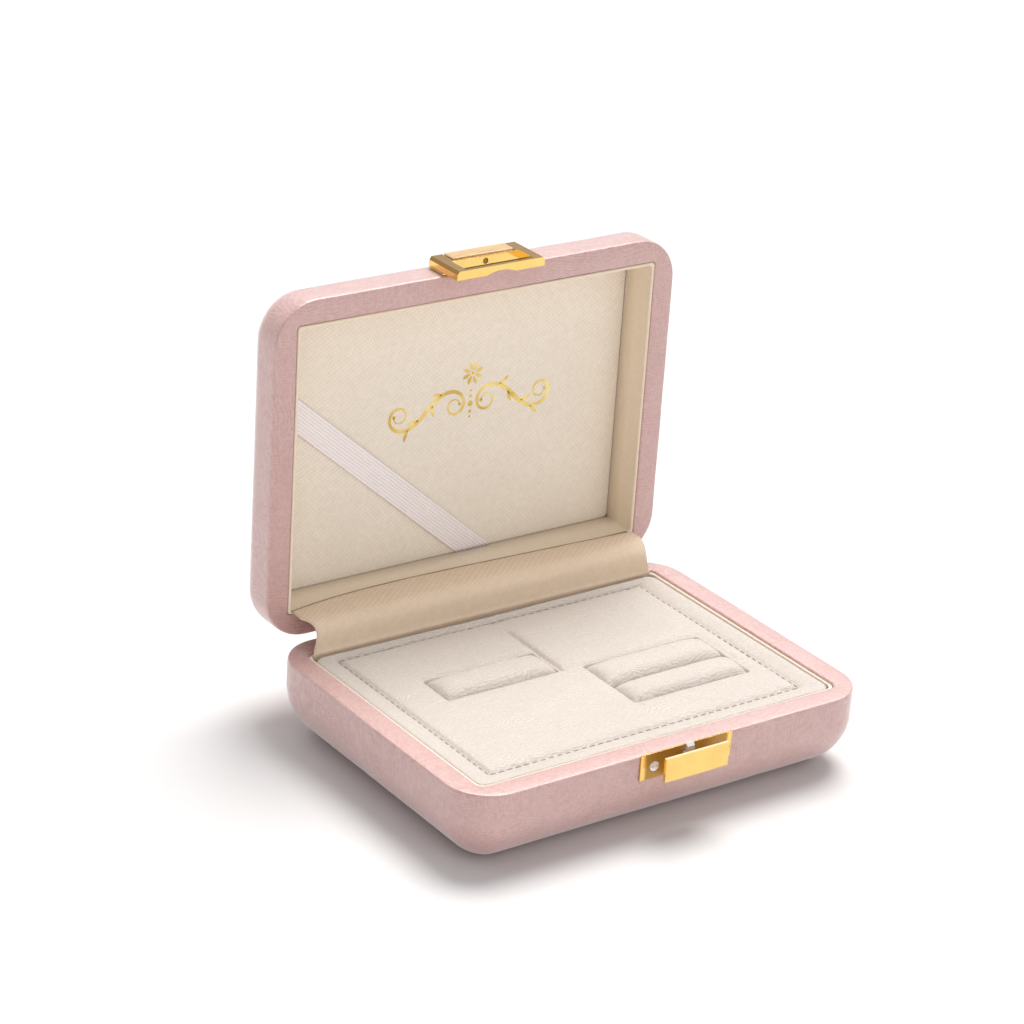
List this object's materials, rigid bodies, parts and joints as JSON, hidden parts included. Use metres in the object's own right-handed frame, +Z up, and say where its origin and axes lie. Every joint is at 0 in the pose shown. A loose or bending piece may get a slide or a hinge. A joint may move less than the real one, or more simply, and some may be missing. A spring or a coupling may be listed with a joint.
{
  "type": "jewellery case",
  "caption": "Small hinged leather jewellery case with a padded ring tray, lined lid, ribbon and push-button clasp, shown open at a right angle.",
  "frame": {"origin": "centre of the base's flat underside", "axes": "+X to the case's right along the hinge, +Y to the back, towards the hinge, +Z up"},
  "size_m": [0.1072, 0.0995, 0.1022],
  "materials": {
    "pink_leather": "fine-grained dusty pink leather, satin",
    "core_board": "moulded greyboard",
    "cream_lining": "thin cream lining, matt",
    "pad_leather": "soft cream leather over foam",
    "panel_cloth": "beige twill-textured cloth on card",
    "gusset_cloth": "beige lining cloth",
    "ribbon": "ribbed pinkish-white elastic",
    "gold": "polished gold plate",
    "steel": "bright steel"
  },
  "bodies": {
    "base": {"base_leather": "pink_leather", "base_shell": "core_board", "base_lining": "cream_lining", "pad_board": "core_board", "ring_pad": "pad_leather", "ring_roll_left": "pad_leather", "ring_roll_right_back": "pad_leather", "ring_roll_right_front": "pad_leather", "lock_plate": "gold", "lock_screw_left": "gold", "lock_screw_right": "gold", "hinge_base_leaf_left": "gold", "hinge_base_leaf_right": "gold", "hinge_pin_left": "steel", "hinge_pin_right": "steel", "hinge_base_screw_1": "gold", "hinge_base_screw_2": "gold", "hinge_base_screw_3": "gold", "hinge_base_screw_4": "gold", "hinge_gusset": "gusset_cloth"},
    "button": {"push_button": "gold", "lock_catch": "steel", "button_spring": "steel"},
    "lid": {"lid_leather": "pink_leather", "lid_shell": "core_board", "lid_lining": "cream_lining", "lid_panel": "panel_cloth", "ribbon_strap": "ribbon", "hasp_plate": "gold", "hasp_frame": "gold", "hasp_bar": "gold", "hasp_screw": "steel", "hasp_plate_screw_left": "gold", "hasp_plate_screw_right": "gold", "hinge_lid_leaf_left": "gold", "hinge_lid_leaf_right": "gold", "hinge_lid_screw_1": "gold", "hinge_lid_screw_2": "gold", "hinge_lid_screw_3": "gold", "hinge_lid_screw_4": "gold"}
  },
  "joints": [
    {"name": "lid_hinge", "type": "hinge", "parent": "base", "child": "lid", "pos_m": [0, 0.04098, 0.0182], "axis": [1, 0, 0], "range_deg": [0, 90], "deforming": ["hinge_gusset"]},
    {"name": "button_press", "type": "slide", "parent": "base", "child": "button", "axis": [0, 1, 0], "range_m": [0, 0.0005], "stiffness_N_per_m": 900, "springref_m": -0.0004, "deforming": ["button_spring"]}
  ]
}
